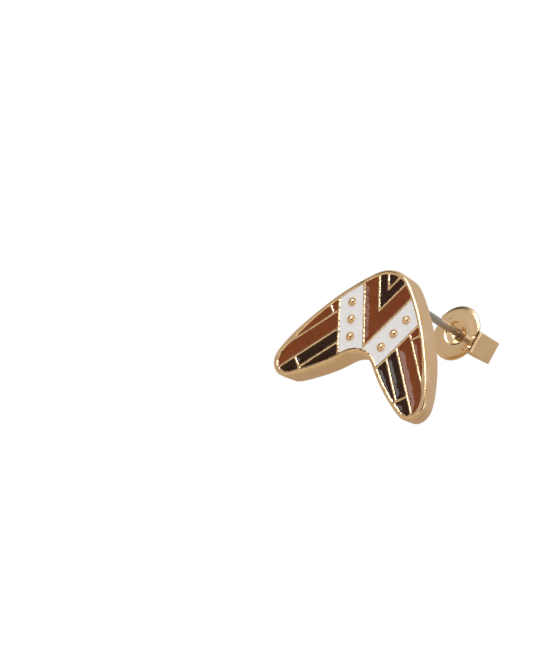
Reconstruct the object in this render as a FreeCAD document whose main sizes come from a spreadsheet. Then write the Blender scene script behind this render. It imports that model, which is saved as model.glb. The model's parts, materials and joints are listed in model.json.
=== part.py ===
import FreeCAD, Part
import math
import os
import Sketcher

# A boomerang-shaped stud earring: a cast base with raised dividers and pips, soft enamel in its cells,
# an ear post soldered to its flat back, and a butterfly nut that slides along the post.
# The origin is where the post's axis meets the flat back. +Y runs back along the post, +Z is up.

doc = FreeCAD.newDocument("boomerang_stud")

# Driving dimensions in millimetres and degrees. A height or drop is measured from the post's axis.
dimensions = {
    # outline of the base
    "span": 17.0,             # width over both tips
    "apex_height": 1.76,      # top of the nose
    "tip_drop": 8.93,         # centre of each rounded tip
    "crook_drop": 6.25,       # lowest metal between the arms
    "nose_radius": 3.09,
    "tip_radius": 1.47,
    "lead_radius": 21.5,      # long outer edge of each arm
    "trail_radius": 18.4,     # long inner edge of each arm
    "crook_radius": 2.37,
    # section of the base
    "plate_depth": 2.25,      # flat back to the top of the rim
    "rim_width": 0.46,
    "rim_bevel": 0.22,
    "back_round": 0.3,
    "recess_depth": 0.8,      # top of the rim to the floor of the cells
    "wall_width": 0.24,       # raised dividers
    "fill_drop": 0.10,        # coloured enamel below the rim
    "white_drop": 0.05,       # white enamel below the rim
    # the three nested chevrons on the nose, by the height where each one's walls cross
    "chevron_lean": 26.65,    # walls from the vertical
    "outer_point": 5.54,      # drop of the large chevron's crossing
    "middle_point": 2.11,     # drop of the middle chevron's crossing
    "inner_point": 0.03,      # drop of the small triangle's crossing
    # white panels and their pips
    "panel_lean": 25.74,
    "panel_foot": 3.394,      # distance of the panel's outer wall from the middle, at panel_drop
    "panel_drop": 4.605,
    "pip_radius": 0.425,
    "pip_rise": 0.2,          # domed top above the rim's level
    "pip_shoulder": 0.02,     # start of the dome above the rim's level
    "pip_side": 3.108,        # top pip from the middle
    "pip_drop": 2.122,        # top pip
    "pip_pitch": 1.625,
    "pip_lean": 23.96,
    # strips along each arm: the main wall runs from the panel to beside the tip, the others beside it
    "main_wall_drop": 4.735,  # start of the main wall on the panel's outer wall
    "main_end_in": -0.07,     # end of the main wall, toward the middle from the tip's centre (negative is away)
    "main_end_down": 0.16,    # and below that centre
    "main_strip": 1.57,       # from the main wall up to the edge wall
    "middle_strip": 1.16,     # from the main wall down to the lower wall
    "corner_shift": -0.10,    # short wall of the corner cell, along the strips from the main wall's start
    "edge_stop": 1.56,        # end of the edge strip, back from the tip's centre
    "tip_cell": 0.74,         # cross wall, back from the tip's centre
    "shoulder_lean": 26.4,    # thickened rim beside the tip
    "shoulder_in": -0.16,     # centre of its rounding, toward the middle from the tip's centre (negative is away)
    "shoulder_up": 2.07,      # and above that centre
    # ear post and its solder
    "post_radius": 0.35,
    "post_length": 12.6,      # from the flat back to the tip
    "seat_depth": 0.6,
    "tip_bevel": 0.12,
    "tip_length": 0.22,
    "notch_back": 1.35,       # centre of the clutch notch, back from the post's tip
    "notch_width": 0.64,
    "notch_depth": 0.08,
    "solder_radius": 0.78,
    "solder_sink": 0.2,
    "solder_rise": 0.22,
    "solder_top": 0.44,       # radius of the solder where it fades into the post
    # butterfly nut
    "nut_stand": 9.6,         # flat back of the base to the nut's pad
    "nut_roll": 6.0,
    "nut_radius": 2.55,
    "sheet": 0.25,
    "nut_clearance": 0.05,    # around the post, in the hole and at the curls
    "funnel_radius": 1.25,
    "funnel_depth": 0.4,
    "arm_width": 2.15,
    "arm_reach": 2.8,         # outer face of each arm from the post's axis
    "arm_height": 3.15,        # pad's face to the top of the curls
    "bend_radius": 0.42,      # to the middle of the sheet
    "crown_radius": 0.32,     # second bend, at the top of an arm
    "curl_radius": 0.8,
    "curl_turn": 160.0,
}

sheet = doc.addObject("Spreadsheet::Sheet", "Dims")
for row, (alias, value) in enumerate(dimensions.items(), start=1):
    sheet.set("A%d" % row, alias)
    sheet.set("B%d" % row, str(value))
    sheet.setAlias("B%d" % row, alias)
doc.recompute()


def size(alias):
    return float(sheet.get(alias))


def bind(thing, **expressions):
    for name, expression in expressions.items():
        thing.setExpression(name.replace("__", "."), expression)
    return thing


def make(kind, name, **expressions):
    return bind(doc.addObject(kind, name), **expressions)


# ---- outline: eight tangent arcs, mirrored about the middle ----

NOSE_CENTRE = "Dims.apex_height - Dims.nose_radius"
TIP_SIDE = "(Dims.span / 2 - Dims.tip_radius)"
CROOK_CENTRE = "Dims.crook_drop + Dims.crook_radius"
START, END, CENTRE = 1, 2, 3
ORIGIN, VERTICAL_AXIS = -1, -2


def tangent_centre(first, first_distance, second, second_distance, side):
    """Centre at the two given distances from two points, on one side of the line between them."""
    gap = (second - first).Length
    along = (first_distance ** 2 - second_distance ** 2 + gap ** 2) / (2 * gap)
    across = math.sqrt(first_distance ** 2 - along ** 2)
    forward = (second - first).normalize()
    left = FreeCAD.Vector(-forward.y, forward.x, 0)
    return first + forward * along + left * (side * across)


def heading(start, end):
    return math.atan2(end.y - start.y, end.x - start.x)


def draw_outline(sketch, inset_value, inset):
    """Closed outline of the base, drawn inside the true edge by the inset."""
    nose = FreeCAD.Vector(0, size("apex_height") - size("nose_radius"), 0)
    tip = FreeCAD.Vector(size("span") / 2 - size("tip_radius"), -size("tip_drop"), 0)
    crook = FreeCAD.Vector(0, -size("crook_drop") - size("crook_radius"), 0)
    lead_radius = size("lead_radius")
    trail_radius = size("trail_radius")
    tip_radius = size("tip_radius")
    lead = tangent_centre(nose, lead_radius - size("nose_radius"), tip, lead_radius - tip_radius, -1)
    trail = tangent_centre(tip, trail_radius - tip_radius, crook, trail_radius + size("crook_radius"), -1)
    lead_from_nose = heading(lead, nose)
    lead_from_tip = heading(lead, tip)
    trail_from_tip = heading(trail, tip)
    trail_from_crook = heading(trail, crook)
    crook_from_trail = heading(crook, trail)
    half_turn = math.pi

    def arc(centre, radius, start, end, mirrored=False):
        if mirrored:
            centre = FreeCAD.Vector(-centre.x, centre.y, 0)
            start, end = half_turn - end, half_turn - start
        circle = Part.Circle(centre, FreeCAD.Vector(0, 0, 1), radius)
        return sketch.addGeometry(Part.ArcOfCircle(circle, start, end), False)

    def side_arcs(mirrored):
        return (
            arc(lead, lead_radius - inset_value, lead_from_tip, lead_from_nose, mirrored),
            arc(tip, tip_radius - inset_value, trail_from_tip, lead_from_tip, mirrored),
            arc(trail, trail_radius - inset_value, trail_from_crook, trail_from_tip, mirrored),
        )

    nose_arc = arc(nose, size("nose_radius") - inset_value, lead_from_nose, half_turn - lead_from_nose)
    crook_arc = arc(crook, size("crook_radius") + inset_value, crook_from_trail, half_turn - crook_from_trail)
    lead_arc, tip_arc, trail_arc = side_arcs(False)
    far_lead, far_tip, far_trail = side_arcs(True)

    joins = [
        (nose_arc, START, lead_arc, END), (lead_arc, START, tip_arc, END),
        (tip_arc, START, trail_arc, END), (trail_arc, START, crook_arc, START),
        (nose_arc, END, far_lead, START), (far_lead, END, far_tip, START),
        (far_tip, END, far_trail, START), (far_trail, END, crook_arc, END),
    ]
    for join in joins:
        sketch.addConstraint(Sketcher.Constraint("Tangent", *join))
    for middle_arc in (nose_arc, crook_arc):
        sketch.addConstraint(Sketcher.Constraint("PointOnObject", middle_arc, CENTRE, VERTICAL_AXIS))
    for near, far in ((lead_arc, far_lead), (tip_arc, far_tip), (trail_arc, far_trail)):
        sketch.addConstraint(Sketcher.Constraint("Equal", near, far))
    sketch.addConstraint(Sketcher.Constraint("Symmetric", tip_arc, CENTRE, far_tip, CENTRE, VERTICAL_AXIS))

    def dimension(constraint, expression):
        index = sketch.addConstraint(constraint)
        sketch.setExpression("Constraints[%d]" % index, expression)

    def radius(index, value, expression):
        dimension(Sketcher.Constraint("Radius", index, value), expression)

    radius(nose_arc, size("nose_radius") - inset_value, "Dims.nose_radius - (%s)" % inset)
    radius(lead_arc, lead_radius - inset_value, "Dims.lead_radius - (%s)" % inset)
    radius(tip_arc, tip_radius - inset_value, "Dims.tip_radius - (%s)" % inset)
    radius(trail_arc, trail_radius - inset_value, "Dims.trail_radius - (%s)" % inset)
    radius(crook_arc, size("crook_radius") + inset_value, "Dims.crook_radius + (%s)" % inset)
    dimension(Sketcher.Constraint("DistanceY", ORIGIN, START, nose_arc, CENTRE, nose.y), NOSE_CENTRE)
    dimension(Sketcher.Constraint("DistanceX", ORIGIN, START, tip_arc, CENTRE, tip.x), TIP_SIDE)
    dimension(Sketcher.Constraint("DistanceY", tip_arc, CENTRE, ORIGIN, START, -tip.y), "Dims.tip_drop")
    dimension(Sketcher.Constraint("DistanceY", crook_arc, CENTRE, ORIGIN, START, -crook.y), CROOK_CENTRE)


def origin_plane(body, role):
    return next(feature for feature in body.Origin.OriginFeatures if feature.Role == role)


def new_sketch(body, name, role):
    sketch = body.newObject("Sketcher::SketchObject", name)
    sketch.AttachmentSupport = (origin_plane(body, role), "")
    sketch.MapMode = "FlatFace"
    return sketch


def outline_body(name, inset_value, inset, depth):
    body = doc.addObject("PartDesign::Body", name)
    sketch = new_sketch(body, name + "_outline", "XZ_Plane")
    draw_outline(sketch, inset_value, inset)
    pad = body.newObject("PartDesign::Pad", name + "_pad")
    pad.Profile = sketch
    bind(pad, Length=depth)
    doc.recompute()
    return body, pad


def flat_face(shape, level):
    """Name of the flat face square to Y at this level."""
    for index, face in enumerate(shape.Faces, start=1):
        if face.BoundBox.YLength < 1e-6 and abs(face.BoundBox.YMin - level) < 1e-6:
            return "Face%d" % index
    raise ValueError("no flat face at %g" % level)


plate, plate_pad = outline_body("plate", 0, "0", "Dims.plate_depth")
bevel = plate.newObject("PartDesign::Chamfer", "rim_edge")
bevel.Base = (plate_pad, [flat_face(plate_pad.Shape, -size("plate_depth"))])
bind(bevel, Size="Dims.rim_bevel")
doc.recompute()
rounding = plate.newObject("PartDesign::Fillet", "back_edge")
rounding.Base = (bevel, [flat_face(bevel.Shape, 0)])
bind(rounding, Radius="Dims.back_round")
doc.recompute()

# Everything inside the rim, from the flat back to well in front of the rim.
well, well_pad = outline_body("well", size("rim_width"), "Dims.rim_width", "Dims.plate_depth * 2")

# ---- cells: the well cut by straight walls ----

REACH = "(Dims.span * 2)"


def block(name, side, drop, lean, shift):
    """Box whose one face lies on a wall's line, moved across it by the shift, from the floor forward."""
    box = make("Part::Box", name, Length=REACH, Height=REACH, Width="Dims.plate_depth")
    box.Placement = FreeCAD.Placement(FreeCAD.Vector(), FreeCAD.Rotation(FreeCAD.Vector(0, 1, 0), 1))
    return bind(
        box,
        Placement__Rotation__Angle=lean,
        Placement__Base__x="(%s) + cos(%s) * (%s) - sin(%s) * %s / 2" % (side, lean, shift, lean, REACH),
        Placement__Base__y="Dims.recess_depth - Dims.plate_depth * 2",
        Placement__Base__z="-(%s) - sin(%s) * (%s) - cos(%s) * %s / 2" % (drop, lean, shift, lean, REACH),
    )


BEYOND = "Dims.wall_width / 2"
BEFORE = "-Dims.wall_width / 2 - " + REACH
BEFORE_WALL = "Dims.wall_width / 2 - " + REACH
BEYOND_WALL = "-Dims.wall_width / 2"
CHEVRON = "(1 deg * Dims.chevron_lean)"
PANEL = "(1 deg * Dims.panel_lean)"
SHOULDER = "(-1 deg * Dims.shoulder_lean)"

# The main wall's start and end, and the slope of every strip below the horizontal.
START_SIDE = "(Dims.panel_foot + (Dims.panel_drop - Dims.main_wall_drop) * tan(%s))" % PANEL
END_SIDE = "(%s - Dims.main_end_in)" % TIP_SIDE
END_DROP = "(Dims.tip_drop + Dims.main_end_down)"
SLOPE = "atan((%s - Dims.main_wall_drop) / (%s - %s))" % (END_DROP, END_SIDE, START_SIDE)
ALONG_STRIP = "(%s - 90 deg)" % SLOPE


def on_strip(side, drop, distance):
    """Point at this distance down the strips from another."""
    return "%s + (%s) * cos(%s)" % (side, distance, SLOPE), "%s + (%s) * sin(%s)" % (drop, distance, SLOPE)


corner_side, corner_drop = on_strip(START_SIDE, "Dims.main_wall_drop", "Dims.corner_shift")
stop_side, stop_drop = on_strip(TIP_SIDE, "Dims.tip_drop", "-Dims.edge_stop")
cross_side, cross_drop = on_strip(TIP_SIDE, "Dims.tip_drop", "-Dims.tip_cell")

# Each wall of the right-hand half: distance from the middle, drop, lean, and how far it is moved across.
walls = {
    "outer": ("0", "Dims.outer_point", CHEVRON, "0"),
    "middle": ("0", "Dims.middle_point", CHEVRON, "0"),
    "inner": ("0", "Dims.inner_point", CHEVRON, "0"),
    "panel": ("Dims.panel_foot", "Dims.panel_drop", PANEL, "0"),
    "edge": (START_SIDE, "Dims.main_wall_drop", ALONG_STRIP, "Dims.main_strip"),
    "main": (START_SIDE, "Dims.main_wall_drop", ALONG_STRIP, "0"),
    "lower": (START_SIDE, "Dims.main_wall_drop", ALONG_STRIP, "-Dims.middle_strip"),
    "corner": (corner_side, corner_drop, SLOPE, "0"),
    "stop": (stop_side, stop_drop, SLOPE, "0"),
    "cross": (cross_side, cross_drop, SLOPE, "0"),
    "shoulder": (TIP_SIDE + " - Dims.shoulder_in", "Dims.tip_drop - Dims.shoulder_up", SHOULDER, "0"),
}


def beside(wall, shift, suffix):
    side, drop, lean, moved = walls[wall]
    return block(wall + suffix, side, drop, lean, "%s + %s" % (moved, shift))


def above_both(wall, shift, mirrored_shift, suffix):
    """The space above a chevron's two walls, as a pair of boxes."""
    side, drop, lean, moved = walls[wall]
    right = block(wall + suffix + "_right", side, drop, lean, shift)
    left = block(wall + suffix + "_left", side, drop, "(-%s)" % lean, mirrored_shift)
    return [right, left]


def shared(name, shapes):
    common = doc.addObject("Part::MultiCommon", name)
    common.Shapes = shapes
    return common


def cut(name, base, tool):
    result = doc.addObject("Part::Cut", name)
    result.Base = base
    result.Tool = tool
    return result


def joined(name, shapes):
    fuse = doc.addObject("Part::MultiFuse", name)
    fuse.Shapes = shapes
    return fuse


def mirrored(name, source):
    mirror = doc.addObject("Part::Mirroring", name)
    mirror.Source = source
    mirror.Base = FreeCAD.Vector(0, 0, 0)
    mirror.Normal = FreeCAD.Vector(1, 0, 0)
    return mirror


beyond = {
    wall: beside(wall, BEYOND, "_beyond")
    for wall in ("outer", "panel", "edge", "main", "lower", "corner", "cross")
}
before = {
    wall: beside(wall, BEFORE, "_before")
    for wall in ("panel", "edge", "main", "lower", "corner", "stop", "cross", "shoulder")
}

arm_cells = {
    "corner": [beyond["panel"], beyond["edge"], before["corner"]],
    "edge_strip": [beyond["corner"], beyond["edge"], before["stop"]],
    "main_strip": [beyond["panel"], before["edge"], beyond["main"], before["shoulder"]],
    "middle_strip": [beyond["panel"], before["main"], beyond["lower"], before["cross"]],
    "lower_strip": [beyond["panel"], before["lower"], before["cross"]],
    "tip": [before["main"], beyond["cross"]],
    "white_panel": [beyond["outer"], before["panel"]],
}

pockets = {}
for name, blocks in arm_cells.items():
    right = shared(name + "_pocket_right", [well] + blocks)
    pockets[name + "_right"] = right
    pockets[name + "_left"] = mirrored(name + "_pocket_left", right)

inside = {wall: above_both(wall, BEFORE, BEYOND, "_inside") for wall in ("outer", "middle", "inner")}
with_wall = {wall: above_both(wall, BEFORE_WALL, BEYOND_WALL, "_with_wall") for wall in ("middle", "inner")}
middle_block = shared("middle_block", with_wall["middle"])
inner_block = shared("inner_block", with_wall["inner"])
outer_area = shared("outer_area", [well] + inside["outer"])
middle_area = shared("middle_area", [well] + inside["middle"])
pockets["outer_chevron"] = cut("outer_chevron_pocket", outer_area, middle_block)
pockets["inner_chevron"] = cut("inner_chevron_pocket", middle_area, inner_block)
pockets["top_triangle"] = shared("top_triangle_pocket", [well] + inside["inner"])

# ---- pips: six domed studs cast with the base ----

FLOOR = "Dims.recess_depth - Dims.plate_depth"
DOME_RADIUS = "((Dims.pip_radius ^ 2 + Dims.pip_rise ^ 2) / (2 * Dims.pip_rise))"
face_forward = FreeCAD.Rotation(FreeCAD.Vector(1, 0, 0), 90)

pips = []
for side_name, side in (("right", 1), ("left", -1)):
    for number in range(3):
        pip_side = "%d * (Dims.pip_side - %d * Dims.pip_pitch * sin(1 deg * Dims.pip_lean))" % (side, number)
        pip_height = "-Dims.pip_drop - %d * Dims.pip_pitch * cos(1 deg * Dims.pip_lean)" % number
        stem = make("Part::Cylinder", "pip_stem_%s_%d" % (side_name, number), Radius="Dims.pip_radius",
                    Height="Dims.recess_depth + Dims.pip_shoulder")
        dome = make("Part::Sphere", "pip_dome_%s_%d" % (side_name, number), Radius=DOME_RADIUS,
                    Angle1="asin(1 - Dims.pip_rise / %s)" % DOME_RADIUS)
        for piece, level in (
            (stem, FLOOR),
            (dome, "-Dims.plate_depth - Dims.pip_shoulder + %s - Dims.pip_rise" % DOME_RADIUS),
        ):
            piece.Placement = FreeCAD.Placement(FreeCAD.Vector(), face_forward)
            bind(piece, Placement__Base__x=pip_side, Placement__Base__y=level, Placement__Base__z=pip_height)
        pips.append(joined("pip_%s_%d" % (side_name, number), [stem, dome]))
pip_set = joined("pip_set", pips)

# ---- base plate ----

sunk = cut("sunk_plate", plate, joined("all_pockets", list(pockets.values())))
studded = joined("studded_plate", [sunk, pip_set])
face_back = FreeCAD.Rotation(FreeCAD.Vector(1, 0, 0), -90)


def along_post(kind, name, start, **expressions):
    """Round primitive on the post's axis, starting at this distance behind the flat back."""
    piece = make(kind, name, **expressions)
    piece.Placement = FreeCAD.Placement(FreeCAD.Vector(), face_back)
    return bind(piece, Placement__Base__y=start)


seat = along_post("Part::Cylinder", "post_seat", "-Dims.seat_depth", Radius="Dims.post_radius",
                  Height="Dims.seat_depth * 2")
dish = along_post("Part::Cylinder", "solder_dish", "-Dims.solder_sink", Radius="Dims.solder_radius",
                  Height="Dims.solder_sink * 2")
base_plate = cut("base_plate", studded, joined("back_cuts", [seat, dish]))

# ---- enamel fills ----


def slab(name, drop):
    """Layer from the floor of the cells up to the enamel's level."""
    layer = make("Part::Box", name, Length=REACH, Height=REACH, Width="Dims.recess_depth - (%s)" % drop)
    return bind(layer, Placement__Base__x="-%s / 2" % REACH, Placement__Base__z="-%s / 2" % REACH,
                Placement__Base__y="(%s) - Dims.plate_depth" % drop)


coloured_layer = slab("coloured_layer", "Dims.fill_drop")
white_layer = slab("white_layer", "Dims.white_drop")
parts = {"base_plate": base_plate}
for name, pocket in pockets.items():
    node = "enamel_" + name
    if name.startswith("white_panel"):
        parts[node] = cut(node, shared(name + "_sheet", [pocket, white_layer]), pip_set)
    else:
        parts[node] = shared(node, [pocket, coloured_layer])

# ---- ear post with its clutch notch, and the solder at its root ----

shaft = along_post("Part::Cylinder", "post_shaft", "-Dims.seat_depth", Radius="Dims.post_radius",
                   Height="Dims.seat_depth + Dims.post_length - Dims.tip_length")
point = along_post("Part::Cone", "post_point", "Dims.post_length - Dims.tip_length", Radius1="Dims.post_radius",
                   Radius2="Dims.post_radius - Dims.tip_bevel", Height="Dims.tip_length")
NOTCH_RADIUS = "(((Dims.notch_width / 2) ^ 2 + Dims.notch_depth ^ 2) / (2 * Dims.notch_depth))"
notch = along_post("Part::Torus", "post_notch", "Dims.post_length - Dims.notch_back",
                   Radius1="Dims.post_radius - Dims.notch_depth + " + NOTCH_RADIUS, Radius2=NOTCH_RADIUS)
parts["ear_post"] = cut("ear_post", joined("post_blank", [shaft, point]), notch)

solder_disc = along_post("Part::Cylinder", "solder_disc", "-Dims.solder_sink", Radius="Dims.solder_radius",
                         Height="Dims.solder_sink")
solder_cone = along_post("Part::Cone", "solder_cone", "0", Radius1="Dims.solder_radius",
                         Radius2="Dims.solder_top", Height="Dims.solder_rise")
parts["post_solder"] = cut("post_solder", joined("solder_blank", [solder_disc, solder_cone]), shaft)

# ---- butterfly nut: a dished pad with two arms curled in against the post ----

nut = doc.addObject("PartDesign::Body", "ear_nut")
parts["ear_nut"] = nut


def nut_round(kind, name, start, **expressions):
    piece = nut.newObject(kind, name)
    piece.AttachmentOffset = FreeCAD.Placement(FreeCAD.Vector(), face_back)
    piece.AttachmentSupport = (origin_plane(nut, "XY_Plane"), "")
    piece.MapMode = "FlatFace"
    bind(piece, **expressions)
    return bind(piece, AttachmentOffset__Base__y=start)


nut_round("PartDesign::AdditiveCylinder", "nut_pad", "0", Radius="Dims.nut_radius", Height="Dims.sheet")
HOLE = "Dims.post_radius + Dims.nut_clearance"
nut_round("PartDesign::AdditiveCone", "funnel_back", "0", Radius1="Dims.funnel_radius + Dims.sheet",
          Radius2=HOLE + " + Dims.sheet", Height="Dims.funnel_depth + Dims.sheet")
nut_round("PartDesign::SubtractiveCone", "funnel_front", "0", Radius1="Dims.funnel_radius",
          Radius2=HOLE, Height="Dims.funnel_depth")
nut_round("PartDesign::SubtractiveCylinder", "nut_hole", "0", Radius=HOLE,
          Height="Dims.funnel_depth + Dims.sheet * 2")
doc.recompute()

# The arm's path lies in the XY plane: out along the pad, round the bend, back, in again across the crown,
# then curled down beside the post.
sheet_middle = size("sheet") / 2
arm_side = size("arm_reach") - sheet_middle
bend_radius = size("bend_radius")
crown_radius = size("crown_radius")
crown_level = size("arm_height") - sheet_middle
curl_radius = size("curl_radius")
curl_side = size("post_radius") + size("nut_clearance") + sheet_middle + curl_radius
root = FreeCAD.Vector(size("funnel_radius") + size("sheet"), sheet_middle, 0)
bend_centre = FreeCAD.Vector(arm_side - bend_radius, sheet_middle + bend_radius, 0)
crown_centre = FreeCAD.Vector(arm_side - crown_radius, crown_level - crown_radius, 0)
curl_centre = FreeCAD.Vector(curl_side, crown_level - curl_radius, 0)
upright = FreeCAD.Vector(0, 0, 1)

spine = new_sketch(nut, "arm_spine", "XY_Plane")
bend_end = FreeCAD.Vector(arm_side, bend_centre.y, 0)
run = spine.addGeometry(Part.LineSegment(root, FreeCAD.Vector(bend_centre.x, sheet_middle, 0)), False)
quarter = math.pi / 2
bend_circle = Part.Circle(bend_centre, upright, bend_radius)
bend = spine.addGeometry(Part.ArcOfCircle(bend_circle, -quarter, 0), False)
rise_end = FreeCAD.Vector(arm_side, crown_centre.y, 0)
rise = spine.addGeometry(Part.LineSegment(bend_end, rise_end), False)
crown_circle = Part.Circle(crown_centre, upright, crown_radius)
crown_bend = spine.addGeometry(Part.ArcOfCircle(crown_circle, 0, quarter), False)
crown_start = FreeCAD.Vector(crown_centre.x, crown_level, 0)
crown = spine.addGeometry(Part.LineSegment(crown_start, FreeCAD.Vector(curl_side, crown_level, 0)), False)
curl_turn = math.radians(size("curl_turn"))
curl_circle = Part.Circle(curl_centre, upright, curl_radius)
curl = spine.addGeometry(Part.ArcOfCircle(curl_circle, quarter, quarter + curl_turn), False)
for join in (
    (run, END, bend, START), (bend, END, rise, START), (rise, END, crown_bend, START),
    (crown_bend, END, crown, START), (crown, END, curl, START),
):
    spine.addConstraint(Sketcher.Constraint("Tangent", *join))
spine.addConstraint(Sketcher.Constraint("Horizontal", run))
spine.addConstraint(Sketcher.Constraint("Vertical", rise))
spine.addConstraint(Sketcher.Constraint("Horizontal", crown))


def spine_dimension(constraint, expression):
    spine.setExpression("Constraints[%d]" % spine.addConstraint(constraint), expression)


ARM_SIDE = "Dims.arm_reach - Dims.sheet / 2"
CURL_SIDE = "Dims.post_radius + Dims.nut_clearance + Dims.sheet / 2 + Dims.curl_radius"
FUNNEL_EDGE = "Dims.funnel_radius + Dims.sheet"
spine_dimension(Sketcher.Constraint("DistanceX", ORIGIN, START, run, START, root.x), FUNNEL_EDGE)
spine_dimension(Sketcher.Constraint("DistanceY", ORIGIN, START, run, START, root.y), "Dims.sheet / 2")
spine_dimension(Sketcher.Constraint("Radius", bend, bend_radius), "Dims.bend_radius")
spine_dimension(Sketcher.Constraint("DistanceX", ORIGIN, START, rise, END, arm_side), ARM_SIDE)
spine_dimension(Sketcher.Constraint("Radius", crown_bend, crown_radius), "Dims.crown_radius")
spine_dimension(Sketcher.Constraint("DistanceY", ORIGIN, START, crown, END, crown_level),
                "Dims.arm_height - Dims.sheet / 2")
spine_dimension(Sketcher.Constraint("DistanceX", ORIGIN, START, curl, CENTRE, curl_side), CURL_SIDE)
spine_dimension(Sketcher.Constraint("Radius", curl, curl_radius), "Dims.curl_radius")
spine_dimension(Sketcher.Constraint("Angle", curl, curl_turn), "1 deg * Dims.curl_turn")

# The strip's section, square to the start of the path.
section = new_sketch(nut, "arm_section", "YZ_Plane")
bind(section, AttachmentOffset__Base__z=FUNNEL_EDGE)
half_width = size("arm_width") / 2
corners = [
    FreeCAD.Vector(0, -half_width, 0), FreeCAD.Vector(size("sheet"), -half_width, 0),
    FreeCAD.Vector(size("sheet"), half_width, 0), FreeCAD.Vector(0, half_width, 0),
]
edges = [
    section.addGeometry(Part.LineSegment(corners[index], corners[(index + 1) % 4]), False)
    for index in range(4)
]
for index in range(4):
    section.addConstraint(Sketcher.Constraint("Coincident", edges[index], END, edges[(index + 1) % 4], START))
for index, direction in enumerate(("Horizontal", "Vertical", "Horizontal", "Vertical")):
    section.addConstraint(Sketcher.Constraint(direction, edges[index]))
section.addConstraint(Sketcher.Constraint("PointOnObject", edges[3], END, VERTICAL_AXIS))
for constraint, expression in (
    (Sketcher.Constraint("DistanceX", edges[0], START, edges[0], END, size("sheet")), "Dims.sheet"),
    (Sketcher.Constraint("DistanceY", edges[1], START, edges[1], END, size("arm_width")), "Dims.arm_width"),
    (Sketcher.Constraint("DistanceY", edges[0], START, ORIGIN, START, half_width), "Dims.arm_width / 2"),
):
    section.setExpression("Constraints[%d]" % section.addConstraint(constraint), expression)

arm = nut.newObject("PartDesign::AdditivePipe", "arm")
arm.Profile = section
arm.Spine = spine
doc.recompute()
arms = nut.newObject("PartDesign::PolarPattern", "both_arms")
arms.Originals = [arm]
arms.Axis = (origin_plane(nut, "Y_Axis"), [""])
arms.Angle = 360
arms.Occurrences = 2
nut.Tip = arms
nut.Placement = FreeCAD.Placement(FreeCAD.Vector(), FreeCAD.Rotation(FreeCAD.Vector(0, 1, 0), 1))
bind(nut, Placement__Base__y="Dims.nut_stand", Placement__Rotation__Angle="1 deg * Dims.nut_roll")
doc.recompute()

# ---- check and write ----

for thing in doc.Objects:
    if "Invalid" in thing.State or "Error" in thing.State:
        raise RuntimeError("%s failed: %s" % (thing.Name, thing.State))
for node, part in parts.items():
    part.Label = node
    if part.Shape.isNull() or not part.Shape.isValid() or len(part.Shape.Solids) != 1:
        raise RuntimeError("%s is not one valid solid" % node)

os.makedirs("parts", exist_ok=True)
for node, part in parts.items():
    part.Shape.exportStep("parts/%s.step" % node)
    print("%-28s %8.3f mm3" % (node, part.Shape.Volume))
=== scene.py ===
import json
import math
import bpy
import numpy as np
from mathutils import Matrix, Vector, geometry, kdtree, noise


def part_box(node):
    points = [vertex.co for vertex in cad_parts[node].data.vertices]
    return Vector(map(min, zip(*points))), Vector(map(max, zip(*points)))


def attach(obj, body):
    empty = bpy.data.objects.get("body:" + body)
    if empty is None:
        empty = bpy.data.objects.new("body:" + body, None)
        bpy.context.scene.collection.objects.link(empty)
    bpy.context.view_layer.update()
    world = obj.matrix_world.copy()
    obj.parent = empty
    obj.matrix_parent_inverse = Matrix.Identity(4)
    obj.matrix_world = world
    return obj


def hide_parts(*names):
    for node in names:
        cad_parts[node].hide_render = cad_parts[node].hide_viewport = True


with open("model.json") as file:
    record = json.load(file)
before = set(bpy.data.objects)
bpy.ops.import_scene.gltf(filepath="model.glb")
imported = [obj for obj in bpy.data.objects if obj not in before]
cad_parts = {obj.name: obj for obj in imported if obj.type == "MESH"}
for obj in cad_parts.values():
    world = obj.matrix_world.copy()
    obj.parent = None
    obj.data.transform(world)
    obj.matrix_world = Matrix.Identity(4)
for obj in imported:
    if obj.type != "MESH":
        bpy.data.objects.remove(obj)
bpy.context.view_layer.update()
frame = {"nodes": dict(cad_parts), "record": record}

# Lengths below are in millimetres, like the jeweller's drawing; meshes are scaled to metres as they are made.
metre = 0.001
sameLevel, onEdge = 2e-3, 1e-4    # how near counts as the same
print("frame loaded:", len(frame["nodes"]), "nodes")


# Outlines read from the frame's own nodes.

def nodePoints(node):
    mesh = frame["nodes"][node].data
    flat = np.empty(len(mesh.vertices) * 3)
    mesh.vertices.foreach_get("co", flat)
    return flat.reshape(-1, 3) / metre


def levelLoops(node, level):
    # Closed outlines, as X-Z points, that the node's mesh has at this depth; the longest comes first.
    points = nodePoints(node)
    keys = {}
    weld = [keys.setdefault(tuple(np.round(p, 3)), len(keys)) for p in points]
    place = {key: points[i] for i, key in reversed(list(enumerate(weld)))}
    uses, edges = {}, set()
    for face in frame["nodes"][node].data.polygons:
        ring = [weld[i] for i in face.vertices]
        onLevel = [abs(place[k][1] - level) < sameLevel for k in ring]
        for a, b, flatA, flatB in zip(ring, ring[1:] + ring[:1], onLevel, onLevel[1:] + onLevel[:1]):
            if flatA and flatB and a != b:
                edge = (min(a, b), max(a, b))
                edges.add(edge)
                uses[edge] = uses.get(edge, 0) + all(onLevel)
    links = {}
    for a, b in edges:
        if uses[(a, b)] < 2:
            links.setdefault(a, []).append(b)
            links.setdefault(b, []).append(a)
    loops, seen = [], set()
    for start in links:
        if start in seen:
            continue
        chain, here, before = [], start, None
        while here not in seen:
            seen.add(here)
            chain.append(here)
            onward = [k for k in links[here] if k != before and k not in seen]
            before = here
            if onward:
                here = onward[0]
        loop = np.array([[place[k][0], place[k][2]] for k in chain])
        loops.append(loop if area(loop) > 0 else loop[::-1])
    return sorted(loops, key=area, reverse=True)


def area(loop):
    x, z = loop[:, 0], loop[:, 1]
    return 0.5 * float(np.sum(x * np.roll(z, -1) - np.roll(x, -1) * z))


# Smooth outlines.

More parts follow.
